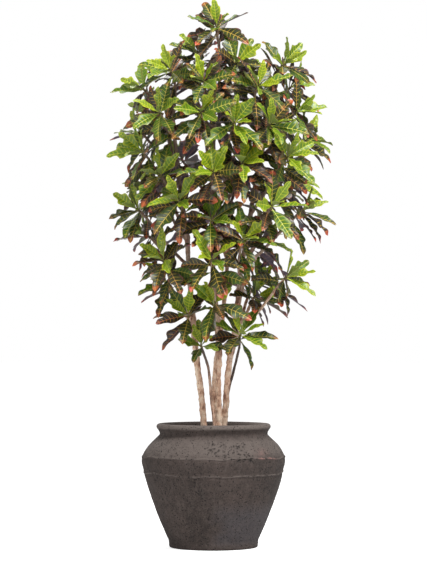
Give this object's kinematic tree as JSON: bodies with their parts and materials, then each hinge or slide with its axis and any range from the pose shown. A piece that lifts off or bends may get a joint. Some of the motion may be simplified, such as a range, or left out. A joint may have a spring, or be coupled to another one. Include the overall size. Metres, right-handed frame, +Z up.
{
  "type": "potted croton",
  "caption": "Free-standing potted croton tree with slim trunks, leafy shoots of lobed leaves and a round stoneware pot.",
  "frame": {"origin": "middle of the pot's foot, on the floor", "axes": "+Z up along the pot's axis; -Y towards the front, the side seen in the picture; +X to the right seen from the front"},
  "size_m": [0.8763, 0.786, 2.0999],
  "materials": {
    "stoneware": "matte",
    "soil": "matte",
    "bark": "matte",
    "young_bark": "matte",
    "leaf": "satin"
  },
  "bodies": {
    "root": {"pot": "stoneware", "soil": "soil", "wood_left": "bark", "wood_middle": "bark", "wood_right": "bark", "wood_back": "bark", "side_stem": "young_bark", "sucker_stem": "young_bark", "leafy_shoot_01": "leaf", "leafy_shoot_02": "leaf", "leafy_shoot_03": "leaf", "leafy_shoot_04": "leaf", "leafy_shoot_05": "leaf", "leafy_shoot_06": "leaf", "leafy_shoot_07": "leaf", "leafy_shoot_08": "leaf", "leafy_shoot_09": "leaf", "leafy_shoot_10": "leaf", "leafy_shoot_11": "leaf", "leafy_shoot_13": "leaf", "leafy_shoot_14": "leaf", "leafy_shoot_15": "leaf", "leafy_shoot_16": "leaf", "leafy_shoot_17": "leaf", "leafy_shoot_18": "leaf", "leafy_shoot_19": "leaf", "leafy_shoot_20": "leaf", "leafy_shoot_21": "leaf", "leafy_shoot_22": "leaf", "leafy_shoot_23": "leaf", "leafy_shoot_24": "leaf", "leafy_shoot_25": "leaf", "leafy_shoot_26": "leaf", "leafy_shoot_27": "leaf", "leafy_shoot_28": "leaf", "leafy_shoot_29": "leaf", "leafy_shoot_30": "leaf", "leafy_shoot_31": "leaf", "leafy_shoot_32": "leaf", "leafy_shoot_33": "leaf", "leafy_shoot_34": "leaf", "leafy_shoot_35": "leaf", "leafy_shoot_36": "leaf", "leafy_shoot_37": "leaf", "leafy_shoot_38": "leaf", "leafy_shoot_40": "leaf", "leafy_shoot_41": "leaf", "leafy_shoot_42": "leaf", "leafy_shoot_43": "leaf", "leafy_shoot_44": "leaf", "leafy_shoot_45": "leaf", "leafy_shoot_46": "leaf", "leafy_shoot_47": "leaf", "leafy_shoot_48": "leaf", "leafy_shoot_49": "leaf", "leafy_shoot_50": "leaf", "leafy_shoot_51": "leaf", "leafy_shoot_53": "leaf", "leafy_shoot_56": "leaf"}
  },
  "joints": []
}
